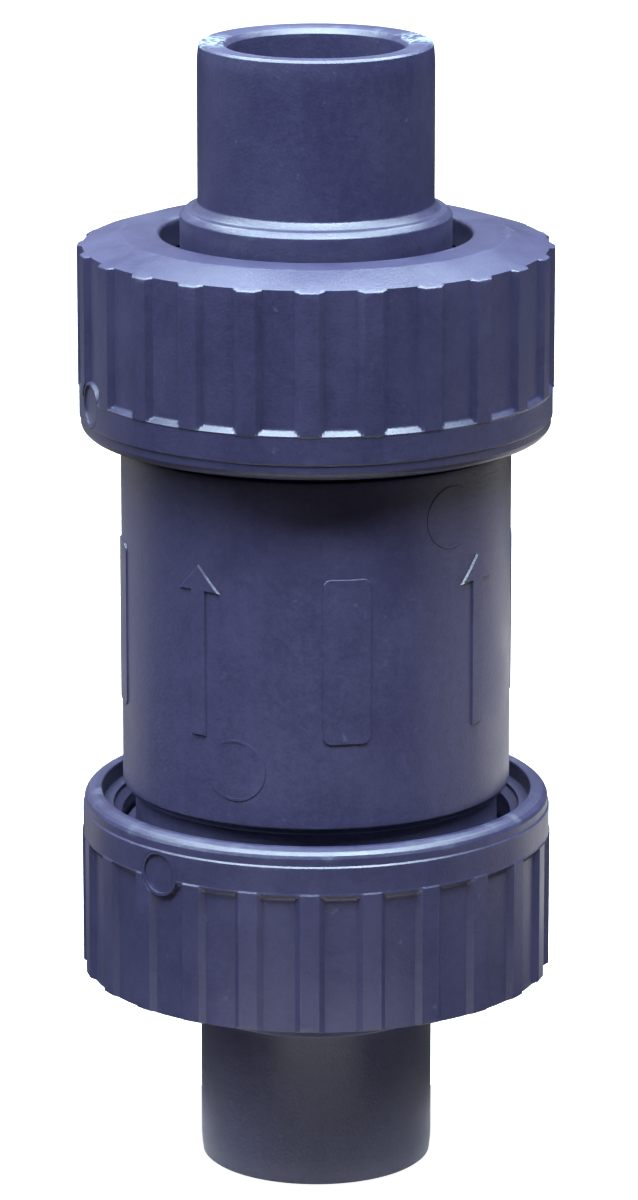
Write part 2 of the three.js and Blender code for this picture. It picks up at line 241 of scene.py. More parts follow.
def stacked_faces(layers, count):
    """The sides and the two ends of a solid whose outline of count points is repeated in layers."""
    faces = []
    for layer in range(layers - 1):
        for i in range(count):
            k = (i + 1) % count
            a, b = layer * count, (layer + 1) * count
            faces.append((a + i, a + k, b + k, b + i))
    faces.append(tuple(reversed(range(count))))
    faces.append(tuple(range((layers - 1) * count, layers * count)))
    return faces


def drafted_boss(name, outline, wall_r, relief, azimuth, height, draft=0.4):
    """A raised mark with sloping sides and a top that follows the wall, standing out of a round wall."""
    low_r, high_r = wall_r - BOSS_ROOT, wall_r + relief + 0.5
    layers = [(low_r, draft * 0.6), (wall_r + relief, -draft), (high_r, -draft)]
    points = []
    count = len(outline)
    turn = math.radians(azimuth)
    across = Vector((math.cos(turn), math.sin(turn), 0))
    outward = Vector((math.sin(turn), -math.cos(turn), 0))
    for depth, grow in layers:
        for p in offset_outline(outline, grow):
            points.append(across * p.x + outward * depth + Vector((0, 0, height + p.y)))
    faces = stacked_faces(len(layers), count)
    boss = mesh_object(name, points, faces, edge=[0.0] * count + [1.0] * (2 * count))
    inner, outer = wall_r - 1.0, wall_r + relief
    low, high = height - 20, height + 20
    cap_rows = [(inner, low, 0.0), (outer, low, 0.0), (outer, high, 0.0), (inner, high, 0.0)]
    cap = revolve(name + "_cap", cap_rows, even_columns(256))
    combine(boss, cap, "INTERSECT")
    return boss


def combine(obj, other, operation):
    """Joins or cuts obj by other, and removes other."""
    modifier = obj.modifiers.new("boolean", "BOOLEAN")
    modifier.operation = operation
    modifier.solver = "MANIFOLD"
    modifier.object = other
    evaluated = obj.evaluated_get(bpy.context.evaluated_depsgraph_get())
    mesh = bpy.data.meshes.new_from_object(evaluated)
    obj.modifiers.clear()
    old = obj.data
    obj.data = mesh
    mesh.name = obj.name
    bpy.data.meshes.remove(old)
    bpy.data.objects.remove(other)


def move_points(obj, moved):
    """Replaces an object's points, in metres, by what moved() makes of them."""
    points = np.empty(len(obj.data.vertices) * 3)
    obj.data.vertices.foreach_get("co", points)
    obj.data.vertices.foreach_set("co", moved(points.reshape(-1, 3)).ravel())
    obj.data.update()


def turn_over(obj):
    """Moves a piece made for the outlet end to the inlet end."""
    move_points(obj, lambda points: points * (1, -1, -1) + (0, 0, LENGTH * MM))


def turn_about_axis(obj, degrees):
    turn = math.radians(degrees)
    cosine, sine = math.cos(turn), math.sin(turn)

    def turned(points):
        x, y, z = points.T
        return np.stack([x * cosine - y * sine, x * sine + y * cosine, z], axis=1)

    move_points(obj, turned)


def place(obj, body, node, material, crease=35):
    """Shades a finished piece, rides it on its body and lets it stand for its CAD node."""
    obj.data.materials.clear()
    obj.data.materials.append(material)
    obj.data.polygons.foreach_set("use_smooth", [True] * len(obj.data.polygons))
    obj.data.set_sharp_from_angle(angle=math.radians(crease))
    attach(obj, body)
    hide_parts(node)
    return obj


# ---------------------------------------------------------------- materials
def new_material(name):
    material = bpy.data.materials.new(name)
    material.use_nodes = True
    nodes = material.node_tree.nodes
    return material, nodes, material.node_tree.links, nodes["Principled BSDF"]


def noise_node(nodes, links, source, scale, detail=3.0, stretch=None):
    """A noise texture in millimetres of feature size, on object coordinates."""
    texture = nodes.new("ShaderNodeTexNoise")
    texture.inputs["Scale"].default_value = 1 / (scale * MM)
    texture.inputs["Detail"].default_value = detail
    if stretch:
        mapping = nodes.new("ShaderNodeMapping")
        mapping.inputs["Scale"].default_value = stretch
        links.new(source, mapping.inputs["Vector"])
        source = mapping.outputs["Vector"]
    links.new(source, texture.inputs["Vector"])
    return texture.outputs["Fac"]


def ramp_node(nodes, links, source, low, high, out_low=0.0, out_high=1.0):
    """Maps a value from low..high to out_low..out_high, clamped."""
    node = nodes.new("ShaderNodeMapRange")
    node.inputs["From Min"].default_value = low
    node.inputs["From Max"].default_value = high
    node.inputs["To Min"].default_value = out_low
    node.inputs["To Max"].default_value = out_high
    links.new(source, node.inputs["Value"])
    return node.outputs["Result"]


def math_node(nodes, links, operation, a, b):
    node = nodes.new("ShaderNodeMath")
    node.operation = operation
    for socket, value in zip(node.inputs, (a, b)):
        if isinstance(value, (int, float)):
            socket.default_value = value
        else:
            links.new(value, socket)
    return node.outputs["Value"]


def mix_colour(nodes, links, factor, a, b):
    node = nodes.new("ShaderNodeMix")
    node.data_type = "RGBA"
    links.new(factor, node.inputs["Factor"])
    for socket, value in ((node.inputs["A"], a), (node.inputs["B"], b)):
        if isinstance(value, tuple):
            socket.default_value = (*value, 1.0)
        else:
            links.new(value, socket)
    return node.outputs["Result"]


def attribute_node(nodes, name):
    node = nodes.new("ShaderNodeAttribute")
    node.attribute_name = name
    return node.outputs["Fac"]


def bump_node(nodes, links, height, distance, strength, after=None):
    node = nodes.new("ShaderNodeBump")
    node.inputs["Distance"].default_value = distance * MM
    node.inputs["Strength"].default_value = strength
    links.new(height, node.inputs["Height"])
    if after is not None:
        links.new(after, node.inputs["Normal"])
    return node.outputs["Normal"]


def pvc(name, dark, light, scuff, rough=0.38, specular=0.75):
    """Moulded grey-blue PVC-U, with mottling, streaks, grain, specks, worn edges, turned ends and a painted
    highlight on the sides of the spigot ends.
    """
    material, nodes, links, shader = new_material(name)
    place_of = nodes.new("ShaderNodeTexCoord").outputs["Object"]
    mottle = noise_node(nodes, links, place_of, 9.0, 4.0)
    streak = noise_node(nodes, links, place_of, 2.2, 3.0, (1.0, 1.0, 0.06))
    grain = noise_node(nodes, links, place_of, 0.4, 2.0)
    speckle = noise_node(nodes, links, place_of, 1.1, 3.0)
    tone = math_node(nodes, links, "MULTIPLY", mottle, 0.25)
    for noise, weight in ((streak, 0.15), (grain, 0.3), (speckle, 0.3)):
        tone = math_node(nodes, links, "ADD", tone, math_node(nodes, links, "MULTIPLY", noise, weight))
    base = mix_colour(nodes, links, ramp_node(nodes, links, tone, 0.4, 0.6), dark, light)

    edge = attribute_node(nodes, "edge")
    patch = noise_node(nodes, links, place_of, 3.5, 5.0)
    worn = math_node(nodes, links, "MULTIPLY", ramp_node(nodes, links, edge, 0.2, 1.0),
                     ramp_node(nodes, links, patch, 0.56, 0.74, 0.0, 0.5))
    specks = ramp_node(nodes, links, noise_node(nodes, links, place_of, 1.6, 6.0), 0.69, 0.76, 0.0, 0.45)
    worn = math_node(nodes, links, "MAXIMUM", worn, specks)
    base = mix_colour(nodes, links, worn, base, scuff)

    cut = attribute_node(nodes, "cut")
    dust = noise_node(nodes, links, place_of, 0.9, 5.0)
    turned = math_node(nodes, links, "MULTIPLY", ramp_node(nodes, links, cut, 0.0, 1.0),
                       ramp_node(nodes, links, dust, 0.35, 0.65, 0.0, 0.06))
    # Painted highlight: where the cut mask runs from 1.1 to 2, on the left and right sides of the spigot's
    # end face, the colour is mixed toward a pale tint.
    painted_highlight = math_node(nodes, links, "MULTIPLY", ramp_node(nodes, links, cut, 1.1, 2.0),
                       ramp_node(nodes, links, dust, 0.42, 0.56))
    base = mix_colour(nodes, links, turned, base, scuff)
    base = mix_colour(nodes, links, painted_highlight, base, HIGHLIGHT_TINT)
    links.new(base, shader.inputs["Base Color"])

    gloss = ramp_node(nodes, links, mottle, 0.3, 0.7, rough - 0.05, rough + 0.06)
    gloss = math_node(nodes, links, "ADD", gloss, math_node(nodes, links, "MULTIPLY", worn, 0.2))
    gloss = math_node(nodes, links, "ADD", gloss, math_node(nodes, links, "MULTIPLY", turned, 0.2))
    links.new(gloss, shader.inputs["Roughness"])
    shader.inputs["Specular IOR Level"].default_value = specular

    fine = bump_node(nodes, links, grain, 0.05, 0.7)
    wave = bump_node(nodes, links, noise_node(nodes, links, place_of, 5.0, 2.0), 0.08, 0.25, fine)
    links.new(wave, shader.inputs["Normal"])
    return material


def elastomer():
    """Matt black EPDM with a dusty bloom and a fine moulded grain."""
    material, nodes, links, shader = new_material("epdm")
    place_of = nodes.new("ShaderNodeTexCoord").outputs["Object"]
    bloom = noise_node(nodes, links, place_of, 2.5, 5.0)
    grain = noise_node(nodes, links, place_of, 0.18, 3.0)
    base = mix_colour(nodes, links, ramp_node(nodes, links, bloom, 0.42, 0.72), (0.011, 0.011, 0.012),
                      (0.035, 0.035, 0.037))
    links.new(base, shader.inputs["Base Color"])
    links.new(ramp_node(nodes, links, bloom, 0.3, 0.7, 0.55, 0.78), shader.inputs["Roughness"])
    links.new(bump_node(nodes, links, grain, 0.03, 0.5), shader.inputs["Normal"])
    return material


def stainless():
    """Drawn and turned stainless steel, with fine marks round the axis."""
    material, nodes, links, shader = new_material("stainless_steel")
    place_of = nodes.new("ShaderNodeTexCoord").outputs["Object"]
    marks = noise_node(nodes, links, place_of, 0.5, 4.0, (0.25, 0.25, 2.5))
    smear = noise_node(nodes, links, place_of, 4.0, 3.0)
    base = mix_colour(nodes, links, ramp_node(nodes, links, smear, 0.35, 0.7), (0.50, 0.50, 0.51),
                      (0.64, 0.64, 0.63))
    links.new(base, shader.inputs["Base Color"])
    shader.inputs["Metallic"].default_value = 1.0
    links.new(ramp_node(nodes, links, marks, 0.3, 0.7, 0.2, 0.38), shader.inputs["Roughness"])
    links.new(bump_node(nodes, links, marks, 0.01, 0.4), shader.inputs["Normal"])
    return material


def bush_plastic():
    """Waxy off-white PTFE with turning marks and faint grey rubbing."""
    material, nodes, links, shader = new_material("ptfe")
    place_of = nodes.new("ShaderNodeTexCoord").outputs["Object"]
    rub = noise_node(nodes, links, place_of, 2.0, 4.0)
    marks = noise_node(nodes, links, place_of, 0.4, 2.0, (0.3, 0.3, 3.0))
    base = mix_colour(nodes, links, ramp_node(nodes, links, rub, 0.4, 0.75), (0.72, 0.70, 0.66),
                      (0.52, 0.51, 0.49))
    links.new(base, shader.inputs["Base Color"])
    links.new(ramp_node(nodes, links, rub, 0.3, 0.7, 0.38, 0.52), shader.inputs["Roughness"])
    shader.inputs["Subsurface Weight"].default_value = 0.1
    shader.inputs["Subsurface Scale"].default_value = 0.5 * MM
    links.new(bump_node(nodes, links, marks, 0.02, 0.4), shader.inputs["Normal"])
    return material


# Pale tint of the painted highlight on the left and right sides of the spigot end faces.
HIGHLIGHT_TINT = (0.22, 0.25, 0.29)
SCUFF = (0.085, 0.092, 0.14)
INNER_SCUFF = (0.07, 0.075, 0.11)
# The body's PVC is a lighter copy of the nuts' and tailpieces' PVC: painted extra light on the body.
PVC_BODY = pvc("pvc_body_satin", (0.033, 0.028, 0.072), (0.050, 0.042, 0.104), SCUFF)
PVC_OUTER = pvc("pvc_satin", (0.027, 0.023, 0.062), (0.040, 0.034, 0.087), SCUFF)
PVC_INNER = pvc("pvc_smooth", (0.027, 0.026, 0.064), (0.034, 0.033, 0.078), INNER_SCUFF, rough=0.32)
EPDM = elastomer()
STEEL = stainless()
PTFE = bush_plastic()


# ---------------------------------------------------------------- threads and ribs
def ridge_height(thread, height, angle):
    """How far, from 0 to 1, a right-hand thread's ridge stands at each point of a round wall."""
    turn = angle / (2 * math.pi)
    turn = turn + np.round((height - THREAD_START) / THREAD_PITCH - turn)
    away = np.abs(height - THREAD_START - THREAD_PITCH * turn)
    tall = abs(thread["crest"] - thread["root"])
    foot = thread["crest_width"] / 2 + THREAD_FLANK * tall
    ridge = np.clip((foot - away) / (THREAD_FLANK * tall), 0, 1)
    along = turn - thread["first"]
    fade = np.clip(np.minimum(along, thread["turns"] - along) * 4, 0, 1)
    return ridge * ridge * (3 - 2 * ridge) * fade


def thread_rows(radius, low, high):
    """Closely spaced rows for a threaded stretch of wall, from low to high."""
    count = int(abs(high - low) / THREAD_ROW)
    return [(radius, low + (high - low) * i / count, 0) for i in range(count + 1)]


# ---------------------------------------------------------------- valve body
def body_half():
    """The body's profile beyond its middle, outside first, for the outlet half."""
    end, root = BODY_END, BODY_THREAD["root"]
    groove_in, groove_out, groove_depth = 21.0, 23.6, 2.1
    return [
        (BODY_R, LENGTH / 2 + 6, 0),
        (BODY_R, SHOULDER, 0.3),
        (LAND_R, SHOULDER, 0.15),
        (LAND_R, LAND_TOP, 0.2),
        (root, LAND_TOP, 0.4),
        *thread_rows(root, LAND_TOP + 1.5, end - 0.9),
        (root, end - 0.7, 0),
        (root - 0.7, end, 0.15),
        (groove_out, end, 0.15),
        (groove_out, end - groove_depth, 0.3),
        (groove_in, end - groove_depth, 0.3),
        (groove_in, end, 0.15),
        (POCKET_R, end, 0.3),
        (POCKET_R, end - POCKET_DEPTH, 0.25),
        (CHAMBER_R, end - POCKET_DEPTH, 0.25),
        (CHAMBER_R, LENGTH / 2 + 6, 0),
    ]


def body_threads(radius, height, angle, edge):
    """Raises the two union threads on the body's ends."""
    tall = BODY_THREAD["crest"] - BODY_THREAD["root"]
    outside = np.abs(radius - BODY_THREAD["root"]) < 0.3
    rise = ridge_height(BODY_THREAD, height, angle)
    rise = rise + ridge_height(BODY_THREAD, LENGTH - height, -angle)
    return radius + outside * tall * rise, edge


ARROW = [(-1.35, -12), (1.35, -12), (1.35, 8), (3.5, 8), (0, 12), (-3.5, 8), (-1.35, 8)]
ARROW_AZIMUTHS = [-36, 54, 144, 234]
ARROW_HEIGHT = LENGTH / 2 - 0.2
PANEL_AZIMUTHS = [9, 99, 189, 279]
PANEL_HEIGHT = LENGTH / 2 - 0.7
PIN_MARKS = [(-24, 62), (43, 95.7)]


def rounded_box(half_wide, half_tall, corner, steps=6):
    """A rounded rectangle's outline, counter-clockwise."""
    outline = []
    for quarter, (sx, sy) in enumerate(((1, -1), (1, 1), (-1, 1), (-1, -1))):
        for i in range(steps + 1):
            angle = math.radians(-90 + 90 * quarter + 90 * i / steps)
            outline.append((sx * (half_wide - corner) + corner * math.cos(angle),
                            sy * (half_tall - corner) + corner * math.sin(angle)))
    return outline


def circle_outline(radius, steps=40):
    return [(radius * math.cos(2 * math.pi * i / steps), radius * math.sin(2 * math.pi * i / steps))
            for i in range(steps)]


def ring_mark(name, outer_r, inner_r, wall_r, relief, floor_r, azimuth, height, draft):
    """A raised ring: a round boss with its middle sunk to a floor just above the wall."""
    boss = drafted_boss(name, circle_outline(outer_r), wall_r, relief, azimuth, height, draft)
    well = drafted_boss(name + "_well", circle_outline(inner_r), floor_r + BOSS_ROOT, WELL_RELIEF,
                        azimuth, height, -draft)
    combine(boss, well, "DIFFERENCE")
    return boss


def valve_body():
    outlet = body_half()
    inlet = [(r, LENGTH - z, rounding) for r, z, rounding in reversed(outlet)]
    body = revolve("body_shell", soften(inlet + outlet), even_columns(288), body_threads)
    marks = [drafted_boss("arrow", ARROW, BODY_R, 0.28, azimuth, ARROW_HEIGHT, 0.3)
             for azimuth in ARROW_AZIMUTHS]
    panel = rounded_box(3.3, 11.5, 1.2)
    marks += [drafted_boss("panel", panel, BODY_R, 0.2, azimuth, PANEL_HEIGHT, 0.25)
              for azimuth in PANEL_AZIMUTHS]
    marks += [ring_mark("pin_mark", 4.3, 3.95, BODY_R, 0.09, BODY_R + 0.01, azimuth, height, 0.05)
              for azimuth, height in PIN_MARKS]
    for mark in marks:
        combine(body, mark, "UNION")
    return place(body, "body", "valve_body", PVC_BODY, 30)


# ---------------------------------------------------------------- union nuts
def nut_columns():
    """Angles of the nut's columns: close together on each rib's flanks, wide apart between."""
    half = math.pi / RIB_COUNT
    beside = [d / RIB_R for d in (0.8, RIB_TOP - 0.08, RIB_TOP, RIB_TOP + 0.38, RIB_TOP + RIB_FLANK,
                                  RIB_TOP + RIB_FLANK + 0.1, 2.9)]
    offsets = [0.0] + beside + [half] + [-a for a in beside]
    centres = [2 * half * i + math.radians(RIB_OFFSET - 90) for i in range(RIB_COUNT)]
    return np.array(sorted((c + o) % (2 * math.pi) for c in centres for o in offsets))


def nut_shape(radius, height, angle, edge):
    """Sinks the recesses between the ribs into the outer wall, and raises the thread inside."""
    pitch = 2 * math.pi / RIB_COUNT
    off = (angle - math.radians(RIB_OFFSET - 90) + pitch / 2) % pitch - pitch / 2
    side = RIB_TOP + RIB_FLANK - np.abs(off) * RIB_R
    ledge = (RECESS_START - height) * (BAND_R - RECESS_R) / (RECESS_START - BAND_TOP)
    floor = RECESS_R + np.maximum(0, np.maximum(side, ledge))
    outside = radius > NUT_ENTRY_R - 0.3
    outside &= height > BAND_TOP - 0.3
    sunk = outside & (floor < radius)
    near = outside & (np.abs(floor - radius) < 0.12)
    edge = np.where(near & (edge < 0.5), 0.5, edge)
    edge = np.where(sunk & ~near, 0.0, edge)
    tall = NUT_THREAD["root"] - NUT_THREAD["crest"]
    bore = (np.abs(radius - NUT_THREAD["root"]) < 0.05)
    ridge = ridge_height(NUT_THREAD, height - THREAD_PITCH / 2, angle)
    return np.where(sunk, floor, radius) - bore * tall * ridge, edge


def chamfer_z(radius):
    """Height of the nut's top chamfer at a radius."""
    return NUT_HIGH.z - (radius - CHAMFER_R) * CHAMFER_DROP / (RIB_R - CHAMFER_R)


def union_nut(end, turn, gate_azimuth):
    mouth, top = NUT_LOW.z, NUT_HIGH.z
    seat = TAIL_LOW.z + 4.2
    bore = NUT_THREAD["root"]
    corners = [
        (NUT_MOUTH_R, mouth, 0.3),
        (30.45, mouth, 0.5),
        (31.3, mouth + 0.3, 0.4),
        (31.75, mouth + 0.75, 0.35),
        (LIP_R, mouth + 1.2, 0.3),
        (LIP_R, LIP_TOP - 0.12, 0.03),
        (BAND_R, LIP_TOP + 0.1, 0.06),
        (BAND_R, BAND_TOP - 0.25, 0.05),
        (RIB_R, BAND_TOP, 0.1),
        *[(RIB_R, RECESS_START + step, 0) for step in (-0.55, -0.4, -0.2, -0.05, 0.1, 0.4)],
        (RIB_R, top - 8, 0),
        (RIB_R, chamfer_z(RIB_R), 0.25),
        (RECESS_R + 0.01, chamfer_z(RECESS_R), 0),
        (RECESS_R - 0.4, chamfer_z(RECESS_R - 0.4), 0),
        (CHAMFER_R, top, 0.6),
        (NUT_BORE_R, top, 0.6),
        (NUT_BORE_R, seat, 0.2),
        (bore, seat, 0.4),
        *thread_rows(bore, seat - 3, LIP_TOP + 1.45),
        (bore, LIP_TOP + 1.25, 0.1),
        (NUT_ENTRY_R, LIP_TOP + 0.55, 0.1),
        (NUT_ENTRY_R, LIP_TOP, 0.15),
        (NUT_MOUTH_R, LIP_TOP, 0.15),
    ]
    nut = revolve(f"{end}_nut_shell", soften(corners), nut_columns(), nut_shape)
    turn_about_axis(nut, turn)
    gate_height = BAND_TOP - 0.7
    recess = drafted_boss("gate_recess", circle_outline(GATE_R), RECESS_R + 0.7, WELL_RELIEF,
                          gate_azimuth, gate_height, -0.1)
    combine(nut, recess, "DIFFERENCE")
    gate = ring_mark("gate", GATE_R, GATE_INNER_R, RECESS_R, BAND_R - RECESS_R, RECESS_R + 0.25,
                     gate_azimuth, gate_height, 0.1)
    combine(nut, gate, "UNION")
    if end == "inlet":
        turn_over(nut)
    return place(nut, f"{end}_nut", f"{end}_union_nut", PVC_OUTER, 32)


# ---------------------------------------------------------------- tailpieces
def tail_end_and_highlight(radius, height, angle):
    """1 on the spigot's turned end, and up to 2 where a painted highlight lightens that end face on its
    left and right sides.
    """
    turned = (height > LENGTH - 0.5) & (radius > PIPE_BORE_R + 0.1)
    # The end face's left and right sides get a painted highlight.
    side_highlight = np.zeros_like(radius)
    for centre, half_width in ((0.22, 0.3), (math.pi - 0.05, 0.34)):
        away = np.abs((angle - centre + math.pi) % (2 * math.pi) - math.pi)
        side_highlight += np.clip(1.4 - away / half_width, 0, 1)
    return turned * (1 + side_highlight)


def tailpiece(end):
    face, flange_r = TAIL_LOW.z, TAIL_HIGH.x
    flange_top = face + 3.9
    collar_r, collar_top = 18.4, LENGTH - 22.5
    corners = [
        (PIPE_BORE_R + 1.5, face, 0.2),
        (flange_r, face, 0.4),
        (flange_r, flange_top, 0.2),
        (collar_r, flange_top, 0.3),
        (collar_r, collar_top - 0.8, 0.35),
        (collar_r - 0.75, collar_top - 0.05, 0.45),
        (PIPE_R + 0.85, collar_top + 0.05, 0.45),
        (PIPE_R, collar_top + 0.95, 0.45),
        (PIPE_R, LENGTH - 12, 0),
        *[(PIPE_R - 0.2 * t * t, LENGTH - 3.2 + 2.7 * t, 0) for t in (0, 0.25, 0.5, 0.75, 1)],
        (PIPE_R - 0.22, LENGTH - 0.3, 0.15),
        (PIPE_R - 0.6, LENGTH, 0.2),
        (PIPE_BORE_R + 1.4, LENGTH, 0.1),
        (PIPE_BORE_R + 0.55, LENGTH - 0.2, 0.08),
        (PIPE_BORE_R, LENGTH - 0.9, 0.15),
        (PIPE_BORE_R, LENGTH - 12, 0),
        (PIPE_BORE_R, face + 2.5, 0.5),
    ]
    tail = revolve(f"{end}_tail_shell", soften(corners), even_columns(224), cut=tail_end_and_highlight)
    if end == "inlet":
        turn_over(tail)
    return place(tail, f"{end}_tailpiece", f"{end}_tailpiece", PVC_OUTER, 32)


# ---------------------------------------------------------------- seals
def o_ring(name, node, body):
    """A round-section ring that fills its CAD ring's box, with a faint moulding flash round it."""
    low, high = box_mm(node)
    section = (high.z - low.z) / 2 / math.cos(math.radians(30))
    middle = (high.z + low.z) / 2
    radius = high.x - section
    steps = 28
    rows = []
    for i in range(steps):
        angle = 2 * math.pi * i / steps
        flash = 0.03 if i in (0, steps // 2) else 0.0
        across = (section + flash) * math.cos(angle)
        rows.append((radius + across, middle + section * math.sin(angle), 0.0))
    ring = revolve(name, rows, even_columns(160))
    return place(ring, body, node, EPDM)


# ---------------------------------------------------------------- inner parts
def seat_ring():
    bottom, top, outer = SEAT_LOW.z, SEAT_HIGH.z, SEAT_HIGH.x
    bore_r, groove_r = 12.5, 17.9
    groove_low, groove_high = bottom + 4.3, bottom + 6.9
    corners = [
        (bore_r, bottom, 0.4),
        (outer, bottom, 0.3),
        (outer, groove_low, 0.1),
        (groove_r, groove_low, 0.25),
        (groove_r, groove_high, 0.25),
        (outer, groove_high, 0.1),
        (outer, top, 0.15),
        (15.4, top, 0.15),
        (12.9, top - 2.5, 0.15),
        (bore_r, top - 3.1, 0.1),
    ]
    ring = revolve("seat_ring_shell", soften(corners), even_columns(160))
    return place(ring, "body", "seat_ring", PVC_INNER)


def cone():
    face, top, outer = CONE_LOW.z + 2.6, CONE_HIGH.z, CONE_HIGH.x
    crown, shank_top = face + 4.9, face + 23.5
    hole_r, hole_top, boss_r = 2.7, face + 9.9, 5.0
    shank_r, stem_r = 6.0, 3.5
    corners = [
        (0, hole_top, 0),
        (hole_r, hole_top, 0.1),
        (hole_r, CONE_LOW.z, 0.15),
        (boss_r, CONE_LOW.z, 0.15),
        (boss_r, face, 0.15),
        (outer, face, 0.2),
        (outer, face + 1.4, 0.5),
        (12.0, crown - 0.7, 1.5),
        (10.6, crown, 0.5),
        (shank_r, crown, 0.3),
        (shank_r, shank_top, 0.3),
        (stem_r, shank_top, 0.3),
        (stem_r, top, 0.7),
        (0, top, 0),
    ]
    piece = revolve("cone_shell", soften(corners, closed=False), even_columns(128))
    return place(piece, "cone", "cone", PVC_INNER)


def cone_seal():
    low, high, outer = CONE_SEAL_LOW.z, CONE_SEAL_HIGH.z, CONE_SEAL_HIGH.x
    bore_r = 5.3
    corners = [(bore_r, low, 0.1), (12.5, low, 0.2), (outer, high - 0.2, 0.1), (outer - 0.05, high, 0.1),
               (bore_r, high, 0.1)]
    piece = revolve("cone_seal_ring", soften(corners), even_columns(160))
    return place(piece, "cone", "cone_seal", EPDM)


def seal_retainer():
    low, high, outer = RETAINER_LOW.z, RETAINER_HIGH.z, RETAINER_HIGH.x
    bore_r = 3.3
    corners = [(bore_r, low, 0.15), (8.0, low, 0.4), (outer - 0.6, high - 1, 0.3),
               (outer, high - 0.4, 0.15), (outer, high, 0.1), (bore_r, high, 0.1)]
    piece = revolve("retainer_disc", soften(corners), even_columns(128))
    return place(piece, "cone", "seal_retainer", PVC_INNER)


def hexagon(radius, height, angle, edge):
    """Flattens the screw's head, 10 mm across, to six sides."""
    half_across, side = 5.0, math.pi / 3
    flat = half_across / np.cos((angle + side / 2) % side - side / 2)
    return np.where(radius > 3, np.minimum(radius, flat), radius), edge


def retainer_screw():
    low, high = SCREW_LOW.z, SCREW_HIGH.z
    head_r, head_top, shank_r = 5.77, low + 3.5, 2.4
    corners = [(0, low, 0), (4.6, low, 0.1), (head_r, low + 0.55, 0.1), (head_r, head_top, 0.1),
               (shank_r, head_top, 0.3), (shank_r, high - 0.5, 0.1), (1.9, high, 0.1), (0, high, 0)]
    piece = revolve("screw_turned", soften(corners, closed=False), even_columns(96), hexagon)
    return place(piece, "cone", "retainer_screw", STEEL, 25)


def spring_washer():
    low, high, outer = WASHER_LOW.z, WASHER_HIGH.z, WASHER_HIGH.x
    bore_r = 6.3
    corners = [(bore_r, low, 0.12), (outer, low, 0.12), (outer, high, 0.25), (bore_r, high, 0.25)]
    piece = revolve("washer_pressed", soften(corners), even_columns(128))
    return place(piece, "cone", "spring_washer", STEEL)


def spring():
    """A round-wire spring with a closed turn and a ground face at each end."""
    turns, closed_pitch, wire, gap = 7.5, 1.7, 0.65, 0.3
    coil = SPRING_HIGH.x - wire
    low, high = WASHER_HIGH.z + gap + wire, CAGE_LOW.z - gap - wire
    per_turn, sides = 40, 14
    steps = int(turns * per_turn)
    open_pitch = (high - low - 2 * closed_pitch) / (turns - 2)
    points, faces = [], []
    for i in range(steps + 1):
        turn = i / per_turn
        angle = 2 * math.pi * turn
        rise = min(turn, 1) * closed_pitch + min(max(turn - 1, 0), turns - 2) * open_pitch
        rise += max(turn - turns + 1, 0) * closed_pitch
        outward = Vector((math.cos(angle), math.sin(angle), 0))
        slope = closed_pitch if turn < 1 or turn > turns - 1 else open_pitch
        along = Vector((-math.sin(angle), math.cos(angle), slope / (2 * math.pi * coil))).normalized()
        upward = outward.cross(along) * -1
        centre = outward * coil + Vector((0, 0, low + rise))
        for k in range(sides):
            spin = 2 * math.pi * k / sides
            points.append(centre + outward * wire * math.cos(spin) + upward * -wire * math.sin(spin))
    for i in range(steps):
        for k in range(sides):
            n = (k + 1) % sides
            a, b = i * sides, (i + 1) * sides
            faces.append((a + k, b + k, b + n, a + n))
    faces.append(tuple(range(sides)))
    faces.append(tuple(reversed(range(steps * sides, (steps + 1) * sides))))
    piece = mesh_object("spring_wire", points, faces)
    place(piece, "body", "spring", STEEL)
    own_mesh(piece)
    return piece


VANE_AZIMUTHS = [45, 135, 225, 315]


def vane(azimuth):
    """One flat vane of the cage, with rounded long edges."""
    ledge = BODY_END - POCKET_DEPTH
    low = CAGE_LOW.z
    root_r, outer_r, foot = 6, 18.3, low + 3.8
    outline = [(root_r, foot), (12, foot), (outer_r, low + 9), (outer_r, ledge + 3), (17.5, ledge + 8),
               (root_r, low + 20)]
    turn = math.radians(azimuth)
    outward = Vector((math.cos(turn), math.sin(turn), 0))
    across = Vector((-math.sin(turn), math.cos(turn), 0))
    layers = [(-1.2, -0.35), (-0.85, 0.0), (0.85, 0.0), (1.2, -0.35)]
    points = []
    for side, grow in layers:
        for p in offset_outline(outline, grow):
            points.append(outward * p.x - across * side + Vector((0, 0, p.y)))
    return mesh_object("vane", points, stacked_faces(len(layers), len(outline)))


def guide_cage():
    low, top, outer = CAGE_LOW.z, CAGE_HIGH.z, CAGE_HIGH.x
    ledge = BODY_END - POCKET_DEPTH + 0.3
    hub_r, foot_r, socket_r, vent_r = 7.2, 9.6, 5.5, 1.2
    dome_start = low + 19.3
    hub_corners = [
        (socket_r, low, 0.2), (foot_r, low, 0.3), (foot_r, low + 2.3, 0.3), (hub_r, low + 4.3, 0.6),
        (hub_r, dome_start, 1.5), (6.3, low + 22.3, 1.5), (4.2, low + 23.9, 1.0), (vent_r, low + 24.5, 0.3),
        (vent_r, low + 21.9, 0.3), (4.2, low + 20.9, 0.5), (socket_r, dome_start, 0.5),
    ]
    ring_bore_r = 17.0
    ring_corners = [(ring_bore_r, ledge, 0.3), (outer, ledge, 0.3), (outer, top, 0.3),
                    (ring_bore_r, top, 0.4)]
    cage = revolve("cage_moulding", soften(hub_corners), even_columns(128))
    combine(cage, revolve("cage_ring", soften(ring_corners), even_columns(160)), "UNION")
    for azimuth in VANE_AZIMUTHS:
        combine(cage, vane(azimuth), "UNION")
    return place(cage, "body", "guide_cage", PVC_INNER, 28)


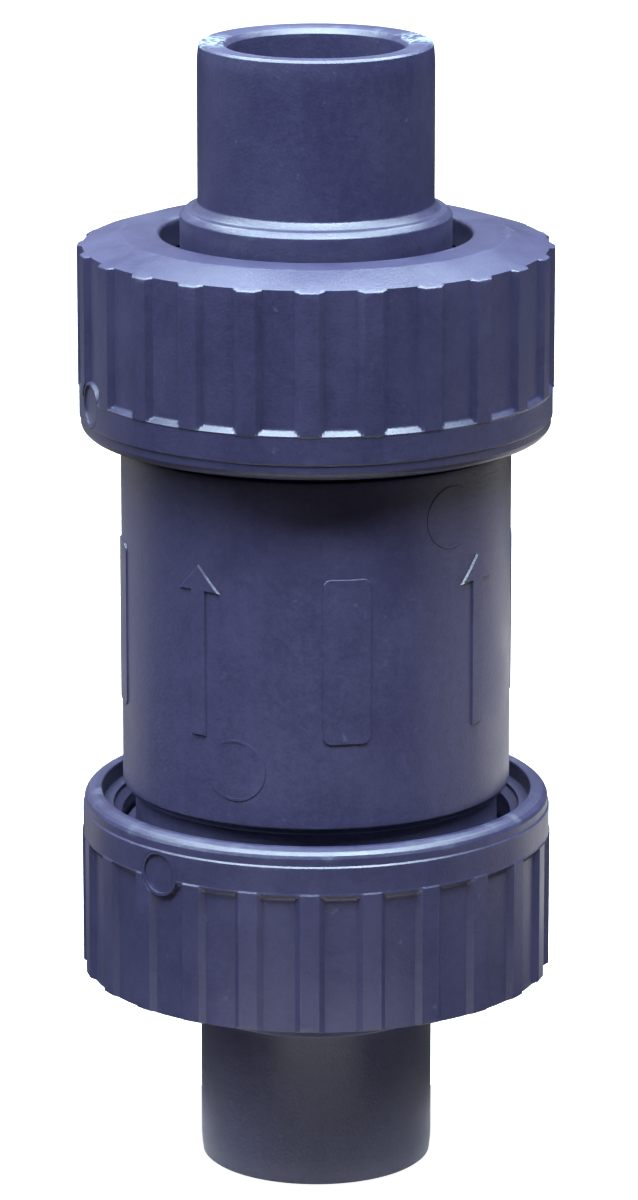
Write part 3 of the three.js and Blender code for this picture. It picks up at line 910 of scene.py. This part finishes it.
def guide_bush():
    low, high, flange_r = BUSH_LOW.z, BUSH_HIGH.z, BUSH_HIGH.x
    bore_r, sleeve_r, flange_top = 3.85, 5.2, low + 1.5
    corners = [(bore_r, low, 0.25), (flange_r, low, 0.2), (flange_r, flange_top, 0.15),
               (sleeve_r, flange_top, 0.15), (sleeve_r, high, 0.2), (bore_r, high, 0.2)]
    piece = revolve("bush_turned", soften(corners), even_columns(96))
    return place(piece, "body", "guide_bush", PTFE)


# ---------------------------------------------------------------- stage
def stage_disc(name, radius, height, steps=96):
    """A flat disc in metres under the valve."""
    points = [(x, y, height) for x, y in circle_outline(radius, steps)]
    mesh = bpy.data.meshes.new(name)
    mesh.from_pydata(points, [], [tuple(range(steps))])
    obj = bpy.data.objects.new(name, mesh)
    bpy.context.scene.collection.objects.link(obj)
    return obj


def floor_material(name, shade, glow=0.0):
    """A plain matt surface, which may give off a white glow."""
    material, _, _, shader = new_material(name)
    shader.inputs["Base Color"].default_value = (*shade, 1)
    shader.inputs["Roughness"].default_value = 0.9
    shader.inputs["Specular IOR Level"].default_value = 0.0
    shader.inputs["Emission Color"].default_value = (1, 1, 1, 1)
    shader.inputs["Emission Strength"].default_value = glow
    return material


def area_light(name, position, aim, size, power, tint=(1, 1, 1)):
    light = bpy.data.lights.new(name, "AREA")
    light.shape = "RECTANGLE"
    light.size, light.size_y = size
    light.energy = power
    light.color = tint
    obj = bpy.data.objects.new(name, light)
    bpy.context.scene.collection.objects.link(obj)
    obj.location = position
    obj.rotation_euler = (Vector(aim) - Vector(position)).to_track_quat("-Z", "Y").to_euler()
    obj.visible_camera = False
    return obj


def studio():
    """A white floor, three softboxes overhead, and glowing cards lying round the valve."""
    below_travel = -12.5 * MM
    floor = stage_disc("floor", 4.0, below_travel - 0.1 * MM)
    floor.data.materials.append(floor_material("white_floor", (0.5, 0.5, 0.5), 1.0))
    floor.visible_diffuse = False
    floor.visible_glossy = False
    table = stage_disc("table", 0.065, below_travel)
    table.data.materials.append(floor_material("table_top", (0.32, 0.27, 0.27)))
    table.visible_camera = False

    middle = (0, 0, LENGTH / 2 * MM)
    cool = (0.72, 0.92, 1.0)
    softboxes = (
        ("front", -0.42, 1.0, 44),
        ("above", 0.0, 1.05, 16),
        ("behind", 0.42, 1.0, 30),
    )
    for name, y, z, power in softboxes:
        area_light("softbox_" + name, (0, y, z), middle, (1.6, 0.3), power, cool)
    area_light("fill_left", (-0.8, -0.2, 0.6), middle, (0.4, 0.4), 5, cool)
    cards = (
        ("right_back", (0.19, 0.18), (0.24, 0.24), 1.25),
        ("right_side", (0.25, -0.03), (0.18, 0.18), 0.9),
        ("left_back", (-0.25, 0.25), (0.32, 0.32), 0.5),
        ("front", (0, -0.075), (0.12, 0.03), 2.2),
    )
    for name, (x, y), size, radiance in cards:
        power = radiance * math.pi * size[0] * size[1]
        area_light("card_" + name, (x, y, 0.001), (x, y, 1.0), size, power)

    world = bpy.data.worlds.new("studio")
    bpy.context.scene.world = world
    world.use_nodes = True
    nodes, links = world.node_tree.nodes, world.node_tree.links
    background = nodes["Background"]
    background.inputs["Color"].default_value = (1, 1, 1, 1)
    direction = nodes.new("ShaderNodeSeparateXYZ")
    links.new(nodes.new("ShaderNodeTexCoord").outputs["Generated"], direction.inputs["Vector"])
    x, y, z = direction.outputs
    below = ramp_node(nodes, links, z, -0.15, -0.3, 0.0, 0.1)
    level = math_node(nodes, links, "MULTIPLY", ramp_node(nodes, links, z, -0.05, 0.1),
                      ramp_node(nodes, links, z, 0.5, 0.35))
    level = math_node(nodes, links, "MULTIPLY", level, ramp_node(nodes, links, x, 0.4, -0.4, 0.1, 0.4))
    backdrop = math_node(nodes, links, "MULTIPLY", level, ramp_node(nodes, links, y, 0.3, 0.7))
    lit = math_node(nodes, links, "ADD", below, backdrop)
    seen = nodes.new("ShaderNodeLightPath").outputs["Is Camera Ray"]
    links.new(math_node(nodes, links, "MAXIMUM", lit, seen), background.inputs["Strength"])


def camera():
    """The photograph's view: a long lens, looking down a little from in front."""
    data = bpy.data.cameras.new("camera")
    data.sensor_width = 36
    data.lens = 183.7
    obj = bpy.data.objects.new("camera", data)
    bpy.context.scene.collection.objects.link(obj)
    obj.location = (0.0004, -0.8113, 0.2912)
    obj.rotation_euler = (math.radians(90 - 14.644), 0, 0)
    bpy.context.scene.camera = obj


camera()
studio()
valve_body()
union_nut("outlet", 0, -71)
union_nut("inlet", 3, 221.3)
tailpiece("outlet")
tailpiece("inlet")
o_ring("outlet_o_ring", "outlet_face_seal", "body")
o_ring("inlet_o_ring", "inlet_face_seal", "body")
o_ring("seat_o_ring", "seat_ring_seal", "body")
seat_ring()
cone()
cone_seal()
seal_retainer()
retainer_screw()
spring_washer()
spring()
guide_cage()
guide_bush()

bpy.context.scene.view_settings.view_transform = "Standard"
bpy.context.view_layer.update()
